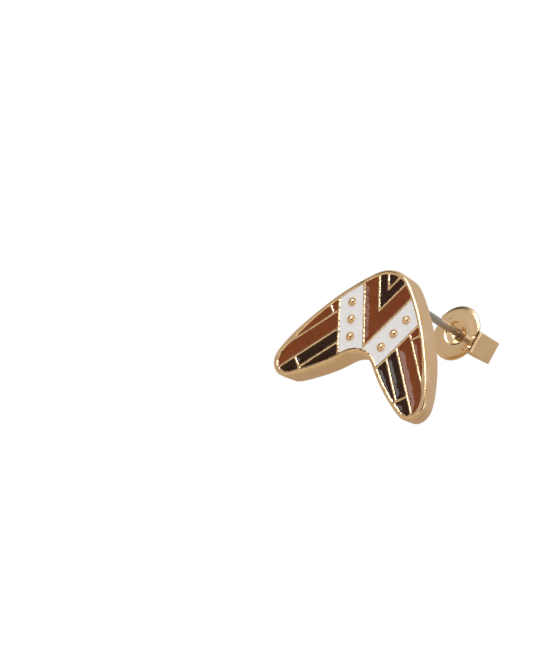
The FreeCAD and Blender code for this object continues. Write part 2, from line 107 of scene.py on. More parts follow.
smoothing = {
    "cornerTurn": 30,    # degrees at which a point is always a corner
    "bendTurn": 8,    # degrees at which it is one between long sides
    "longSide": 0.7,
    "cutShare": 0.42,    # the most of a run that one rounded corner takes
    "arcPoints": 9,
    "curveStep": 0.02,
}


def lengthAlong(points):
    return np.concatenate([[0], np.cumsum(np.linalg.norm(np.diff(points, axis=0), axis=1))])


def evenly(points, step):
    along = lengthAlong(points)
    count = max(2, int(round(along[-1] / step)) + 1)
    where = np.linspace(0, along[-1], count)
    return np.stack([np.interp(where, along, points[:, k]) for k in (0, 1)], axis=1)


def curveThrough(points, closed):
    # Fine points on the smooth curve through these, each bend an arc of the circle through its neighbours.
    count = len(points)
    if count == 2 and not closed:
        return points
    tangents = np.zeros((count, 2))
    for i in range(count):
        if closed or 0 < i < count - 1:
            a = points[i] - points[i - 1]
            b = points[(i + 1) % count] - points[i]
            t = a / a.dot(a) + b / b.dot(b)
            tangents[i] = t / np.linalg.norm(t)
    if not closed:
        for end, near in ((0, 1), (count - 1, count - 2)):
            chord = points[near] - points[end]
            chord = chord / np.linalg.norm(chord) * (1 if end == 0 else -1)
            tangents[end] = 2 * chord * chord.dot(tangents[near]) - tangents[near]
    fine = []
    for i in range(count if closed else count - 1):
        j = (i + 1) % count
        reach = np.linalg.norm(points[j] - points[i])
        steps = max(1, int(reach / smoothing["curveStep"]))
        for t in np.arange(steps) / steps:
            fine.append(
                (2 * t**3 - 3 * t**2 + 1) * points[i] + (t**3 - 2 * t**2 + t) * reach * tangents[i]
                + (3 * t**2 - 2 * t**3) * points[j] + (t**3 - t**2) * reach * tangents[j]
            )
    fine.append(points[0] if closed else points[-1])
    return np.array(fine)


def trimmed(points, cut):
    along = lengthAlong(points)
    keep = (along > cut[0]) & (along < along[-1] - cut[1])
    ends = [[np.interp(w, along, points[:, k]) for k in (0, 1)] for w in (cut[0], along[-1] - cut[1])]
    return np.vstack([ends[0], points[keep], ends[1]])


def smoothOutline(loop, step, cornerRadius):
    # The loop resampled evenly, its bends as curves and its corners rounded.
    sides = np.roll(loop, -1, axis=0) - loop
    lengths = np.linalg.norm(sides, axis=1)
    headings = np.arctan2(sides[:, 1], sides[:, 0])
    turns = (headings - np.roll(headings, 1) + math.pi) % (2 * math.pi) - math.pi
    shorter = np.minimum(lengths, np.roll(lengths, 1))
    isCorner = abs(turns) > math.radians(smoothing["cornerTurn"])
    isCorner |= (abs(turns) > math.radians(smoothing["bendTurn"])) & (shorter > smoothing["longSide"])
    corners = np.nonzero(isCorner)[0]
    if len(corners) == 0:
        return evenly(curveThrough(loop, True), step)[:-1]
    runs = []
    for first, last in zip(corners, np.roll(corners, -1)):
        span = (last - first) % len(loop) or len(loop)
        runs.append(curveThrough(loop[[(first + k) % len(loop) for k in range(span + 1)]], False))
    count = len(runs)
    bends, cuts = [], [[0, 0] for _ in runs]
    for i in range(count):
        before, after = runs[i - 1], runs[i]
        turn = abs(turns[corners[i]])
        room = smoothing["cutShare"] * min(lengthAlong(before)[-1], lengthAlong(after)[-1])
        cut = min(cornerRadius * math.tan(turn / 2), room)
        cuts[i - 1][1] = cuts[i][0] = cut
        bends.append(4 / 3 * math.tan(turn / 4) / math.tan(turn / 2))
    pieces = []
    for i, run in enumerate(runs):
        corner = run[0]
        start = trimmed(runs[i - 1], cuts[i - 1])[-1]
        body = trimmed(run, cuts[i])
        t = np.linspace(0, 1, smoothing["arcPoints"])[:, None]
        handleA = start + (corner - start) * bends[i]
        handleB = body[0] + (corner - body[0]) * bends[i]
        arc = (1 - t)**3 * start + 3 * (1 - t)**2 * t * handleA
        arc = arc + 3 * (1 - t) * t**2 * handleB + t**3 * body[0]
        pieces += [arc[:-1], body[:-1]]
    ring = np.vstack(pieces)
    return evenly(np.vstack([ring, ring[:1]]), step)[:-1]


def outward(loop):
    # Unit normals that point out of a loop that runs anticlockwise.
    along = np.roll(loop, -1, axis=0) - np.roll(loop, 1, axis=0)
    along /= np.linalg.norm(along, axis=1)[:, None]
    return np.stack([along[:, 1], -along[:, 0]], axis=1)


def circle(centre, radius, count):
    angle = np.linspace(0, 2 * math.pi, count, endpoint=False)
    return np.stack([centre[0] + radius * np.cos(angle), centre[1] + radius * np.sin(angle)], axis=1)


# Flat regions filled with triangles.

filling = {
    "rowSpread": 0.09,    # distance from the edge at which a row thins out to every second point
    "rowClear": 0.93,    # share of its distance that a row keeps from every edge
    "rowHeight": 0.866,    # rows of the lattice, for near equilateral triangles
    "latticeClear": 0.6,
    "closest": 0.025,
}


def isInside(points, loops):
    # Even-odd test, so that a loop within a loop is a hole and a third one is solid again.
    odd = np.zeros(len(points), bool)
    for loop in loops:
        near = np.nonzero(np.all((points >= loop.min(0)) & (points <= loop.max(0)), axis=1))[0]
        if len(near) == 0:
            continue
        x, z = points[near, 0][:, None], points[near, 1][:, None]
        a, b = loop, np.roll(loop, -1, axis=0)
        spans = (a[:, 1] > z) != (b[:, 1] > z)
        rise = np.where(b[:, 1] == a[:, 1], 1, b[:, 1] - a[:, 1])
        crosses = spans & (x < (b[:, 0] - a[:, 0]) * (z - a[:, 1]) / rise + a[:, 0])
        odd[near] ^= (crosses.sum(1) % 2).astype(bool)
    return odd


class Distance:
    # Distance from any point to the nearest of some loops.

    def __init__(self, loops):
        self.a = np.vstack(loops)
        self.b = np.vstack([np.roll(loop, -1, axis=0) for loop in loops])
        starts = np.cumsum([0] + [len(loop) for loop in loops[:-1]])
        self.before = np.concatenate([
            np.roll(np.arange(len(loop)), 1) + start for start, loop in zip(starts, loops)])
        self.tree = kdtree.KDTree(len(self.a))
        for i, p in enumerate(self.a):
            self.tree.insert((p[0], p[1], 0), i)
        self.tree.balance()

    def __call__(self, points):
        nearest = np.array([self.tree.find((p[0], p[1], 0))[1] for p in points], int)
        best = np.full(len(points), 1e9)
        for edge in (nearest, self.before[nearest]):
            a, b = self.a[edge], self.b[edge]
            ab = b - a
            t = np.clip(np.sum((points - a) * ab, axis=1) / np.maximum(np.sum(ab * ab, axis=1), 1e-12), 0, 1)
            best = np.minimum(best, np.linalg.norm(points - a - ab * t[:, None], axis=1))
        return best


def fillRegion(loops, grid, rings=()):
    # Triangles over the region that the loops bound, with rows of points beside its edges.
    # Returns points, triangles and each point's distance to the edge.
    distance = Distance(loops)
    inner = [np.empty((0, 2))]
    for reach in rings:
        for loop in loops:
            for sense in (1, -1):
                row = loop + outward(loop) * reach * sense
                row = row[::max(1, int(reach / filling["rowSpread"]))]
                row = row[isInside(row, loops)]
                if len(row):
                    inner.append(row[distance(row) > reach * filling["rowClear"]])
    low, high = np.vstack(loops).min(0), np.vstack(loops).max(0)
    columns = np.arange(low[0], high[0], grid)
    rows = np.arange(low[1], high[1], grid * filling["rowHeight"])
    lattice = np.array([(x + (grid / 2 if k % 2 else 0), z) for k, z in enumerate(rows) for x in columns])
    lattice = lattice[isInside(lattice, loops)]
    clear = (max(rings) if rings else 0) + grid * filling["latticeClear"]
    if len(lattice):
        inner.append(lattice[distance(lattice) > clear])
    inner = np.vstack(inner)
    taken, kept = set(), []
    for p in inner:
        key = (round(p[0] / filling["closest"]), round(p[1] / filling["closest"]))
        if not any((key[0] + i, key[1] + j) in taken for i in (-1, 0, 1) for j in (-1, 0, 1)):
            taken.add(key)
            kept.append(p)
    border = np.vstack(loops)
    every = np.vstack([border, kept]) if kept else border
    edges, start = [], 0
    for loop in loops:
        edges += [(start + i, start + (i + 1) % len(loop)) for i in range(len(loop))]
        start += len(loop)
    flat = [Vector((float(x), float(z))) for x, z in every]
    points, _, faces, *_ = geometry.delaunay_2d_cdt(flat, edges, [], 0, 1e-7)
    points = np.array([(p[0], p[1]) for p in points])
    faces = np.array([f for f in faces if len(f) == 3])
    faces = faces[isInside(points[faces].mean(1), loops)]
    used = np.unique(faces)
    renumber = np.full(len(points), -1)
    renumber[used] = np.arange(len(used))
    points = points[used]
    return points, renumber[faces], distance(points)


def newObject(name, data):
    thing = bpy.data.objects.new(name, data)
    bpy.context.scene.collection.objects.link(thing)
    return thing


class Shell:
    # A mesh in the making: sheets that face front or back, joined by walls along shared loops.

    def __init__(self):
        self.points, self.faces, self.tags = [], [], []

    def add(self, points, tag=0.0):
        start = len(self.points)
        self.points += [tuple(p) for p in points]
        self.tags += [tag] * len(points) if np.isscalar(tag) else list(tag)
        return start

    def sheet(self, flat, triangles, depth, front, tag=0.0):
        depths = np.broadcast_to(depth, len(flat))
        return self.cover(flat, triangles, np.stack([flat[:, 0], depths, flat[:, 1]], axis=1), front, tag)

    def cover(self, flat, triangles, points, front, tag):
        # Adds points and their triangles, and returns a tree that finds a point by its place in the flat.
        start = self.add(points, tag)
        for a, b, c in triangles:
            p, q, r = flat[a], flat[b], flat[c]
            anticlockwise = (q[0] - p[0]) * (r[1] - p[1]) - (q[1] - p[1]) * (r[0] - p[0]) > 0
            # seen from the front, -Y, an anticlockwise X-Z triangle already faces the viewer
            self.faces.append((start + a, start + b, start + c) if anticlockwise == front
                              else (start + a, start + c, start + b))
        tree = kdtree.KDTree(len(flat))
        for i, p in enumerate(flat):
            tree.insert((p[0], p[1], 0), start + i)
        tree.balance()
        return tree

    def ringOf(self, sheet, loop):
        found = [sheet.find((p[0], p[1], 0)) for p in loop]
        assert max(f[2] for f in found) < onEdge, "an edge point is missing from its sheet"
        return [f[1] for f in found]

    def wall(self, nearer, farther, outside):
        # Joins two rings of the same count; outside says that the wall's face looks out of the loop.
        count = len(nearer)
        for i in range(count):
            j = (i + 1) % count
            quad = (nearer[i], farther[i], farther[j], nearer[j])
            self.faces.append(quad if outside else quad[::-1])

    def ring(self, points, tag=0.0):
        # Adds points in a closed row and returns their numbers.
        start = self.add(points, tag)
        return list(range(start, start + len(points)))

    def build(self, name, smoothDegrees):
        mesh = bpy.data.meshes.new(name)
        mesh.from_pydata([(x * metre, y * metre, z * metre) for x, y, z in self.points], [], self.faces)
        mesh.polygons.foreach_set("use_smooth", [True] * len(mesh.polygons))
        finish = mesh.attributes.new("polish", "FLOAT", "POINT")
        finish.data.foreach_set("value", [float(t) for t in self.tags])
        mesh.set_sharp_from_angle(angle=math.radians(smoothDegrees))
        mesh.update()
        return newObject(name, mesh)


noiseSpan = 1.6    # brings the noise's usual values to about -1 to 1


def ripple(flat, size, seed):
    # Soft unevenness of -1 to 1 over the surface, about this many millimetres across.
    return np.array([noise.noise(Vector((x / size, z / size, seed))) for x, z in flat]) * noiseSpan


def smoothstep(low, high, value):
    t = np.clip((value - low) / (high - low), 0, 1)
    return t * t * (3 - 2 * t)


# Shared shader groups.

def newGroup(name, colours, values):
    # A shader group with these inputs, which gives a colour, a roughness and a height.
    group = bpy.data.node_groups.new(name, "ShaderNodeTree")
    for way, kind, labels in (
            ("INPUT", "Vector", ("Vector",)), ("INPUT", "Color", colours), ("INPUT", "Float", values),
            ("OUTPUT", "Color", ("Color",)), ("OUTPUT", "Float", ("Roughness", "Height"))):
        for label in labels:
            group.interface.new_socket(name=label, in_out=way, socket_type="NodeSocket" + kind)
    return group, group.nodes.new("NodeGroupInput").outputs, group.nodes.new("NodeGroupOutput").inputs


def feed(tree, sockets, values):
    # Links each value that is another node's output to its socket, and sets the others.
    for name, value in values.items():
        if hasattr(value, "is_linked"):
            tree.links.new(value, sockets[name])
        else:
            sockets[name].default_value = value


def addNode(tree, kind, settings, values):
    node = tree.nodes.new(kind)
    for name, value in settings.items():
        setattr(node, name, value)
    feed(tree, node.inputs, values)
    return node


def mathNode(tree, operation, first, second, clamp=False):
    node = addNode(tree, "ShaderNodeMath", {"operation": operation, "use_clamp": clamp}, {0: first, 1: second})
    return node.outputs[0]


def times(tree, first, second):
    return mathNode(tree, "MULTIPLY", first, second)


def noiseNode(tree, vector, scale, detail, roughness=0.5, distortion=0.0):
    return addNode(tree, "ShaderNodeTexNoise", {}, {
        "Detail": detail, "Roughness": roughness, "Distortion": distortion, "Vector": vector, "Scale": scale,
    }).outputs["Fac"]


def mixColour(tree, factor, first, second):
    # of this node's sockets, inputs 6 and 7 and output 2 are the coloured ones
    values = {"Factor": factor, 6: first, 7: second}
    return addNode(tree, "ShaderNodeMix", {"data_type": "RGBA"}, values).outputs[2]


def mixValue(tree, factor, first, second):
    values = {"Factor": factor, "A": first, "B": second}
    return addNode(tree, "ShaderNodeMix", {"data_type": "FLOAT"}, values).outputs["Result"]


def spread(tree, value, low, high, outLow=0.0, outHigh=1.0):
    return addNode(tree, "ShaderNodeMapRange", {"clamp": True}, {
        "From Min": low, "From Max": high, "To Min": outLow, "To Max": outHigh, "Value": value}).outputs["Result"]


def speckNode(tree, vector, scale, edge, patchScale, patchEdge):
    # A mask of small spots that come in patches.
    field = addNode(tree, "ShaderNodeTexVoronoi", {}, {"Scale": scale, "Randomness": 1.0, "Vector": vector})
    spots = spread(tree, field.outputs["Distance"], *edge, 1.0, 0.0)
    return times(tree, spots, spread(tree, noiseNode(tree, vector, patchScale, 2.0), *patchEdge))


metalWear = {
    "pits": (2600.0, (0.05, 0.22), 900.0, (0.56, 0.66)),      # scale and edge, then those of their patches
    "pitDepth": 1.6,
    "blotchEdge": (0.35, 0.7), "wearEdge": (0.3, 0.72),
    "blotchShare": 0.6, "grainShare": 0.4,    # of the wear that roughens the metal
}


def makePlatingGroup():
    # Cast and plated metal: blotches of tone, fine grain and scattered pits; each pit is a dent in the height, and
    # its darker colour is painted shade.
    group, given, out = newGroup("platedMetal", ("Bright", "Deep"), (
        "Blotch Scale", "Grain Scale", "Blotch", "Smooth", "Rough", "Pits"))
    blotch = noiseNode(group, given["Vector"], given["Blotch Scale"], 4.0, 0.6)
    grain = noiseNode(group, given["Vector"], given["Grain Scale"], 5.0, 0.65)
    # the pits' mask darkens the colour toward Deep, which is painted shade in the pits, and it sinks the height,
    # which makes a real dent
    pits = times(group, speckNode(group, given["Vector"], *metalWear["pits"]), given["Pits"])
    tone = times(group, spread(group, blotch, *metalWear["blotchEdge"]), given["Blotch"])
    tone = mathNode(group, "ADD", tone, pits, clamp=True)
    wear = mathNode(group, "ADD", times(group, blotch, metalWear["blotchShare"]),
                    times(group, grain, metalWear["grainShare"]))
    span = mathNode(group, "SUBTRACT", given["Rough"], given["Smooth"])
    rough = times(group, spread(group, wear, *metalWear["wearEdge"]), span)
    feed(group, out, {
        "Color": mixColour(group, tone, given["Bright"], given["Deep"]),
        "Roughness": mathNode(group, "ADD", rough, given["Smooth"]),
        "Height": mathNode(group, "SUBTRACT", grain, times(group, pits, metalWear["pitDepth"]))})
    return group


enamelSkin = {
    "scale": 700.0,
    "specks": (3600.0, (0.06, 0.16), 1500.0, (0.6, 0.68)),
    "speckRough": 0.4, "speckHeight": 0.15,
    "cloudEdge": (0.3, 0.72), "hazeEdge": (0.35, 0.75), "haze": 0.07,
}


def makeEnamelGroup():
    # Poured enamel: pigment clouds, tiny specks of dust and a faintly wavy skin.
    group, given, out = newGroup("pouredEnamel", ("Pigment", "Thin", "Speck"), (
        "Cloud Scale", "Cloud", "Specks", "Gloss"))
    cloud = noiseNode(group, given["Vector"], given["Cloud Scale"], 5.0, 0.62, 0.4)
    skin = noiseNode(group, given["Vector"], enamelSkin["scale"], 2.0, 0.4)
    speck = times(group, speckNode(group, given["Vector"], *enamelSkin["specks"]), given["Specks"])
    amount = times(group, spread(group, cloud, *enamelSkin["cloudEdge"]), given["Cloud"])
    body = mixColour(group, amount, given["Pigment"], given["Thin"])
    haze = times(group, spread(group, cloud, *enamelSkin["hazeEdge"]), enamelSkin["haze"])
    rough = mathNode(group, "ADD", haze, given["Gloss"])
    feed(group, out, {
        "Color": mixColour(group, speck, body, given["Speck"]),
        "Roughness": mathNode(group, "ADD", rough, times(group, speck, enamelSkin["speckRough"])),
        "Height": mathNode(group, "ADD", skin, times(group, speck, enamelSkin["speckHeight"]))})
    return group


platingGroup = makePlatingGroup()
enamelGroup = makeEnamelGroup()


def newMaterial(name):
    material = bpy.data.materials.new(name)
    material.use_nodes = True
    tree = material.node_tree
    tree.nodes.clear()
    shader = tree.nodes.new("ShaderNodeBsdfPrincipled")
    addNode(tree, "ShaderNodeOutputMaterial", {}, {"Surface": shader.outputs["BSDF"]})
    return material, tree, shader, tree.nodes.new("ShaderNodeTexCoord").outputs["Object"]


def placeGroup(tree, group, place, values):
    return addNode(tree, "ShaderNodeGroup", {"node_tree": group}, {"Vector": place, **values}).outputs


def finishShader(tree, shader, look, bump, more):
    # The look is a colour, a roughness and a height; the bump is its strength and its depth in metres.
    skin = addNode(tree, "ShaderNodeBump", {}, {"Strength": bump[0], "Distance": bump[1], "Height": look["Height"]})
    feed(tree, shader.inputs, {
        "Base Color": look["Color"], "Roughness": look["Roughness"], "Normal": skin.outputs["Normal"], **more})


def makeMetal(name, finish):
    # A metal from a piece's own finish, drawn out along the axis where it has a stretch.
    material, tree, shader, place = newMaterial(name)
    if "stretch" in finish:
        drawn = addNode(tree, "ShaderNodeMapping", {}, {"Scale": finish["stretch"], "Vector": place})
        place = drawn.outputs["Vector"]
    metal = placeGroup(tree, platingGroup, place, finish["plating"])
    finishShader(tree, shader, metal, finish["bump"], {"Metallic": 1.0})
    return material


castingFinish = {
    "polished": {    # rim, walls and pips
        "Bright": (0.92, 0.65, 0.38, 1), "Deep": (0.60, 0.35, 0.15, 1), "Blotch Scale": 900.0, "Blotch": 0.45,
        "Smooth": 0.05, "Rough": 0.17, "Pits": 0.9, "Grain Scale": 5200.0},
    "satin": {    # sides and back
        "Bright": (0.88, 0.60, 0.35, 1), "Deep": (0.76, 0.49, 0.26, 1), "Blotch Scale": 330.0, "Blotch": 0.45,
        "Smooth": 0.30, "Rough": 0.46, "Pits": 0.15, "Grain Scale": 7800.0},
    "bump": (0.35, 0.00001),
    "fraySize": 1400.0, "fray": 0.18,    # of the line where the polish ends
}


def makeCastingMaterial():
    material, tree, shader, place = newMaterial("goldCasting")
    bright = placeGroup(tree, platingGroup, place, castingFinish["polished"])
    satin = placeGroup(tree, platingGroup, place, castingFinish["satin"])
    polish = addNode(tree, "ShaderNodeAttribute", {"attribute_name": "polish"}, {}).outputs["Fac"]
    edge = noiseNode(tree, place, castingFinish["fraySize"], 3.0)
    fray = spread(tree, edge, 0.3, 0.7, -castingFinish["fray"], castingFinish["fray"])
    mask = spread(tree, mathNode(tree, "ADD", polish, fray, clamp=True), 0.3, 0.7)
    look = {name: mixValue(tree, mask, satin[name], bright[name]) for name in ("Roughness", "Height")}
    look["Color"] = mixColour(tree, mask, satin["Color"], bright["Color"])
    finishShader(tree, shader, look, castingFinish["bump"], {"Metallic": 1.0})
    return material


enamelTones = {
    "brown": {
        "Pigment": (0.175, 0.040, 0.008, 1), "Thin": (0.260, 0.068, 0.016, 1), "Speck": (0.55, 0.38, 0.28, 1),
        "Cloud": 0.55, "Specks": 0.35, "Gloss": 0.05, "Cloud Scale": 420.0},
    "dark": {
        "Pigment": (0.024, 0.007, 0.002, 1), "Thin": (0.042, 0.015, 0.007, 1), "Speck": (0.45, 0.38, 0.34, 1),
        "Cloud": 0.5, "Specks": 0.3, "Gloss": 0.05, "Cloud Scale": 520.0},
    "white": {
        "Pigment": (0.83, 0.835, 0.87, 1), "Thin": (0.71, 0.70, 0.72, 1), "Speck": (0.35, 0.28, 0.22, 1),
        "Cloud": 0.45, "Specks": 0.30, "Gloss": 0.14, "Cloud Scale": 1700.0},
}
enamelBump = (0.5, 0.00002)
enamelMirror = {"IOR": 1.52, "Specular IOR Level": 0.18}      # how strongly its skin mirrors


def makeEnamelMaterial(tone):
    material, tree, shader, place = newMaterial(tone + "Enamel")
    pour = placeGroup(tree, enamelGroup, place, enamelTones[tone])
    finishShader(tree, shader, pour, enamelBump, enamelMirror)
    return material


enamelMaterials = {tone: makeEnamelMaterial(tone) for tone in enamelTones}
castingMaterial = makeCastingMaterial()
print("materials made")

# The casting and its enamel.

casting = {
    "outlineStep": 0.06, "boundaryStep": 0.05,
    "grid": 0.085, "edgeRows": (0.022, 0.05, 0.085),
    "floorGrid": 0.4, "backGrid": 0.3, "backRows": (0.08, 0.2), "dishGrid": 0.2,
    "pipAround": 54, "dishAround": 72, "seatAround": 48,
    "cornerRadius": 0.11,
    "edgeRound": 0.075, "pipRound": 0.4,      # rounded shoulders of the walls, and a pip's share of them
    "wallSink": 0.018, "sinkEdge": (0.3, 0.5),    # walls a little lower than the rim
    # unevenness: its height, size and seed
    "waviness": (0.014, 0.9, 1.5), "beading": (0.013, 0.22, 7.5), "rimWave": (0.004, 1.6, 4.0),
    "sideWave": (0.006, 2.4, 3.1), "backWave": (0.006, 1.3, 9.0),
    "waveFade": 0.12, "sideFade": (0.3, 0.8),
    "rimFlat": 0.28,    # from the outline in to the rim's flat top
    "bevelDepth": 0.95, "bevelAngles": (12, 24, 36, 48, 60, 70, 80, 90),
    "sideRows": ((0.36, 0.4), (0.46, 0.0), (0.6, 0.0), (0.9, 0.0), (1.2, 0.0)),   # depth and polish
    "lastRow": 0.12, "backAngles": (0, 12, 24, 36, 48, 60, 72, 82),
    "tipRadius": 1.47, "tipCore": 1.8, "tipSpread": 5.0,      # where the arms' ends are
    "tipBlend": 85,    # steps of the outline it eases over
    "tipFull": 0.20, "cornerDraft": 0.56, "tipDraft": 0.06,   # fuller in front, drawn in toward the back
    "fullTurn": (-0.8, 0.1), "draftTurn": ((-1.0, -0.7), (-0.25, 0.6)), "draftOut": (-0.1, 0.35),
    "draftCurve": 1.4,
}
baseBox = [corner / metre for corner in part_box("base_plate")]
castPoints = nodePoints("base_plate")
levels = np.unique(np.round(castPoints[:, 1], 3))


def widthAt(level):
    # Width over both tips, or nothing where the casting has only a few points.
    x = castPoints[abs(castPoints[:, 1] - level) < sameLevel, 0]
    return x.max() - x.min() if len(x) > 40 else 0


widest = max(widthAt(level) for level in levels)
sideLevels = [level for level in levels if widthAt(level) > widest - 0.01]
sideFront, sideBack = min(sideLevels), max(sideLevels)
rimBevel = (widest - widthAt(min(level for level in levels if widthAt(level) > widest - 0.5))) / 2
rimTop = sideFront - rimBevel
backRound = -sideBack
outline = smoothOutline(levelLoops("base_plate", sideFront)[0], casting["outlineStep"], 0)
facing = outward(outline)


def alongLoop(values, width):
    # The values evened out along the closed outline.
    window = np.hanning(width + 2)[1:-1]
    padded = np.concatenate([values[-width:], values, values[:width]])
    return np.convolve(padded, window / window.sum(), "same")[width:-width]


def shapeTips():
    # How much fuller each point of the outline is in front, and how far it is drawn in toward the back.
    reach = casting["tipRadius"]
    tipCentre = np.array([outline[:, 0].max(), outline[:, 1].min()]) + (-reach, reach)
    fromTip = np.linalg.norm(np.abs(outline) * (1, 0) + outline * (0, 1) - tipCentre, axis=1)
    nearTip = 1 - smoothstep(casting["tipCore"], casting["tipSpread"], fromTip)
    full = alongLoop(nearTip * smoothstep(*casting["fullTurn"], facing[:, 1]), casting["tipBlend"])
    starts, ends = casting["draftTurn"]
    drawn = smoothstep(*starts, facing[:, 1]) * (1 - smoothstep(*ends, facing[:, 1]))
    drawn = drawn * smoothstep(*casting["draftOut"], facing[:, 0] * np.sign(outline[:, 0])) * nearTip
    drawn = alongLoop(drawn, casting["tipBlend"])
    full = casting["tipFull"] * full
    return full, full + casting["cornerDraft"] * drawn + casting["tipDraft"] * nearTip


tipFull, draft = shapeTips()
outline = outline + facing * tipFull[:, None]
print("outline", len(outline), "rim", round(rimTop, 3), "sides", sideFront, sideBack)

slotOf = {part["node"]: part["material_slot"] for part in frame["record"]["subparts"]}
enamelNodes = sorted(name for name in frame["nodes"] if name.startswith("enamel_"))
cells, pips = {}, []
for node in enamelNodes:
    loops = levelLoops(node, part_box(node)[0].y / metre)
    cells[node] = smoothOutline(loops[0], casting["boundaryStep"], casting["cornerRadius"])
    for hole in loops[1:]:
        centre = (hole.max(0) + hole.min(0)) / 2
        pips.append((centre, np.linalg.norm(hole - centre, axis=1).mean(), node))
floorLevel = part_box(enamelNodes[0])[1].y / metre
pipRise = rimTop - baseBox[0].y
pipLoops = [circle(centre, radius, casting["pipAround"]) for centre, radius, _ in pips]
print("cells", len(cells), "pips", len(pips), "floor", round(floorLevel, 3))


def pipHoles(node):
    return [loop for loop, (_, _, owner) in zip(pipLoops, pips) if owner == node]


def waves(flat, wave):
    height, size, seed = wave
    return height * ripple(flat, size, seed)


def domeHeight(flat):
    # How far each point on a pip stands above the rim's level, or nothing elsewhere.
    height = np.zeros(len(flat))
    for centre, radius, _ in pips:
        ball = (radius**2 + pipRise**2) / (2 * pipRise)
        reach = np.linalg.norm(flat - centre, axis=1)
        on = reach <= radius + onEdge
        height[on] = np.sqrt(ball**2 - np.minimum(reach[on], radius)**2) - (ball - pipRise)
    return height


def castFront(shell):
    # The rim, the walls between the cells, the pips and the cells' floors; returns the rim's outer ring.
    rimLoop = outline - outward(outline) * casting["rimFlat"]
    loops = [rimLoop] + list(cells.values()) + pipLoops
    flat, triangles, _ = fillRegion(loops, casting["grid"], casting["edgeRows"])
    cellDistance = Distance(list(cells.values()) + pipLoops)(flat)
    rimDistance = Distance([outline])(flat)
    onPip = isInside(flat, pipLoops) | (Distance(pipLoops)(flat) < onEdge)
    shoulder = casting["edgeRound"]
    over = np.maximum(0, shoulder - cellDistance)
    rounding = shoulder - np.sqrt(shoulder**2 - over**2)
    sink = casting["wallSink"] * smoothstep(*casting["sinkEdge"], rimDistance)
    uneven = waves(flat, casting["waviness"]) + waves(flat, casting["beading"])
    fade = smoothstep(casting["rimFlat"], casting["rimFlat"] + casting["waveFade"], rimDistance)
    depth = rimTop + rounding + sink + uneven * fade + waves(flat, casting["rimWave"])
    depth = np.where(onPip, rimTop + rounding * casting["pipRound"] - domeHeight(flat), depth)
    depth = np.maximum(depth, baseBox[0].y)
    top = shell.sheet(flat, triangles, depth, True, 1.0)
    for node, cell in cells.items():
        ringLoops = [cell] + pipHoles(node)
        ground, groundFaces, _ = fillRegion(ringLoops, casting["floorGrid"])
        bottom = shell.sheet(ground, groundFaces, floorLevel, True, 1.0)
        for index, loop in enumerate(ringLoops):
            shell.wall(shell.ringOf(top, loop), shell.ringOf(bottom, loop), index > 0)
    return shell.ringOf(top, rimLoop)


def castSides(shell, ring):
    # The bevel, the sides and the rounded back edge; returns the last ring and the flat back's outline.
    normals = outward(outline)
    bevel = casting["rimFlat"]
    section = [(bevel * (1 - math.sin(a)), rimTop + bevel * casting["bevelDepth"] * (1 - math.cos(a)), 1.0)
               for a in np.radians(casting["bevelAngles"])]
    section += [(0.0, rimTop + down, polish) for down, polish in casting["sideRows"]]
    section += [(0.0, sideBack - casting["lastRow"], 0.0)]
    section += [(backRound * (1 - math.cos(a)), sideBack + backRound * math.sin(a), 0.0)
                for a in np.radians(casting["backAngles"])]
    height, size, seed = casting["sideWave"]
    lump = ripple(outline, size, seed)
    fadeFrom, fadeTo = (rimTop + down for down in casting["sideFade"])
    for inset, level, polish in section:
        dent = height * (1 + lump) * smoothstep(fadeFrom, fadeTo, level)
        behind = np.clip((level - sideFront) / (sideBack - sideFront), 0, 1)**casting["draftCurve"]
        loop = outline - normals * (inset + dent + draft * behind)[:, None]
        following = shell.ring([(x, level, z) for x, z in loop], polish)
        shell.wall(ring, following, True)
        ring = following
    return ring, outline - normals * (backRound + draft)[:, None]


def castBack(shell, ring, backLoop):
    # The flat back with the solder's dish and the post's seat.
    dishLevel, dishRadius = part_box("post_solder")[0].y / metre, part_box("post_solder")[1].x / metre
    seatLevel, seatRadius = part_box("ear_post")[0].y / metre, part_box("ear_post")[1].x / metre
    dish = circle((0, 0), dishRadius, casting["dishAround"])
    seat = circle((0, 0), seatRadius, casting["seatAround"])
    flat, triangles, edge = fillRegion([backLoop, dish], casting["backGrid"], casting["backRows"])
    height, size, seed = casting["backWave"]
    level = -height * (0.5 + 0.5 * ripple(flat, size, seed)) * smoothstep(0.0, casting["backRows"][-1], edge)
    back = shell.sheet(flat, triangles, level, False)
    shell.wall(ring, shell.ringOf(back, backLoop), True)
    flat, triangles, _ = fillRegion([dish, seat], casting["dishGrid"])
    under = shell.sheet(flat, triangles, dishLevel, False)
    shell.wall(shell.ringOf(under, dish), shell.ringOf(back, dish), False)
    flat, triangles, _ = fillRegion([seat], casting["dishGrid"])
    deep = shell.sheet(flat, triangles, seatLevel, False)
    shell.wall(shell.ringOf(deep, seat), shell.ringOf(under, seat), False)


def makeCasting():
    shell = Shell()
    ring = castFront(shell)
    ring, backLoop = castSides(shell, ring)
    castBack(shell, ring, backLoop)
    piece = shell.build("goldCasting", 42)
    piece.data.materials.append(castingMaterial)
    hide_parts("base_plate")
    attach(piece, "stud")
    print("casting made:", len(piece.data.polygons), "faces")


enamelPour = {
    "brown": {"edge": 0.060, "dip": 0.215, "reach": 0.42, "wave": 0.016},
    "dark": {"edge": 0.065, "dip": 0.190, "reach": 0.34, "wave": 0.018},
    "white": {"edge": 0.050, "dip": 0.030, "reach": 0.16, "wave": 0.006},
    "outerDip": 0.80, "innerDip": 0.42,   # the nose's cells are fuller, most of all the dark ones
    "grid": 0.075, "edgeRows": (0.02, 0.045, 0.075, 0.11, 0.16, 0.22),
    "waveSize": 0.8, "waveEdge": (0.02, 0.25), "firstSeed": 11.0, "seedStep": 3.7,
    "settle": 14, "settleShare": 0.6,
    "underFloor": 0.003,
}


